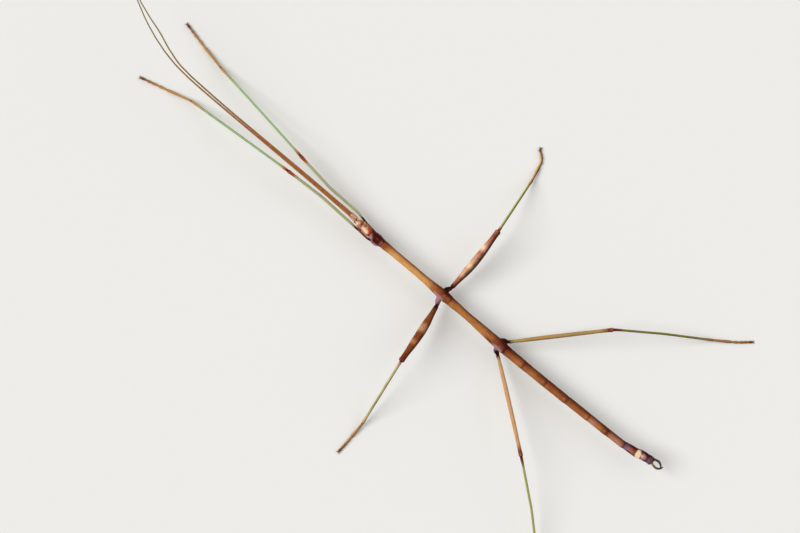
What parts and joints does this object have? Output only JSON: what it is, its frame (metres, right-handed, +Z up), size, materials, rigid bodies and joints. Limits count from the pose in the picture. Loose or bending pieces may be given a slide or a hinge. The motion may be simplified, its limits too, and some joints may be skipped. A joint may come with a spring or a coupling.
{
  "type": "stick insect",
  "caption": "Life-size still model of a male northern walkingstick, standing with legs spread, feelers and fore legs reaching forwards, and slim jointed legs carrying a twig-like body.",
  "frame": {"origin": "centre of the model's box, on the floor it stands on", "axes": "+Z up; the head points along -Y and the tail along +Y; +X is the insect's left side"},
  "size_m": [0.071, 0.1332, 0.0133],
  "materials": {
    "cuticle_tan": "satin cuticle",
    "cuticle_brown": "satin cuticle",
    "cuticle_maroon": "satin cuticle",
    "cuticle_pink": "satin cuticle",
    "cuticle_plum": "smooth cuticle, slight gloss",
    "leg_green": "satin cuticle",
    "leg_olive": "satin cuticle",
    "leg_orange": "satin cuticle",
    "leg_pink": "satin cuticle",
    "feeler_brown": "matte cuticle",
    "eye_dark": "glossy",
    "claw_brown": "hard and smooth"
  },
  "bodies": {
    "root": {"head": "cuticle_pink", "eye_left": "eye_dark", "eye_right": "eye_dark", "mouthparts": "cuticle_plum", "antenna_left_scape": "feeler_brown", "antenna_left_base": "feeler_brown", "antenna_left_middle": "feeler_brown", "antenna_left_tip": "feeler_brown", "antenna_right_scape": "feeler_brown", "antenna_right_base": "feeler_brown", "antenna_right_middle": "feeler_brown", "antenna_right_tip": "feeler_brown", "prothorax": "cuticle_maroon", "mesothorax": "cuticle_tan", "metathorax": "cuticle_brown", "abdomen_2": "cuticle_brown", "abdomen_3": "cuticle_brown", "abdomen_4": "cuticle_brown", "abdomen_5": "cuticle_brown", "abdomen_6": "cuticle_brown", "abdomen_7": "cuticle_brown", "abdomen_8": "cuticle_plum", "abdomen_9": "cuticle_plum", "abdomen_10": "cuticle_plum", "subgenital_plate": "cuticle_plum", "cercus_left": "claw_brown", "cercus_right": "claw_brown", "leg_fore_left_coxa": "cuticle_maroon", "leg_fore_left_femur": "leg_green", "leg_fore_left_tibia": "leg_green", "leg_fore_left_tarsus": "cuticle_brown", "leg_fore_left_claws": "claw_brown", "leg_fore_right_coxa": "cuticle_maroon", "leg_fore_right_femur": "leg_green", "leg_fore_right_tibia": "leg_green", "leg_fore_right_tarsus": "cuticle_brown", "leg_fore_right_claws": "claw_brown", "leg_mid_left_coxa": "cuticle_maroon", "leg_mid_left_femur": "leg_pink", "leg_mid_left_tibia": "leg_olive", "leg_mid_left_tarsus": "cuticle_brown", "leg_mid_left_claws": "claw_brown", "leg_mid_right_coxa": "cuticle_maroon", "leg_mid_right_femur": "leg_pink", "leg_mid_right_tibia": "leg_olive", "leg_mid_right_tarsus": "cuticle_brown", "leg_mid_right_claws": "claw_brown", "leg_hind_left_coxa": "cuticle_maroon", "leg_hind_left_femur": "leg_orange", "leg_hind_left_tibia": "leg_olive", "leg_hind_left_tarsus": "cuticle_brown", "leg_hind_left_claws": "claw_brown", "leg_hind_right_coxa": "cuticle_maroon", "leg_hind_right_femur": "leg_orange", "leg_hind_right_tibia": "leg_olive", "leg_hind_right_tarsus": "cuticle_brown", "leg_hind_right_claws": "claw_brown"}
  },
  "joints": []
}
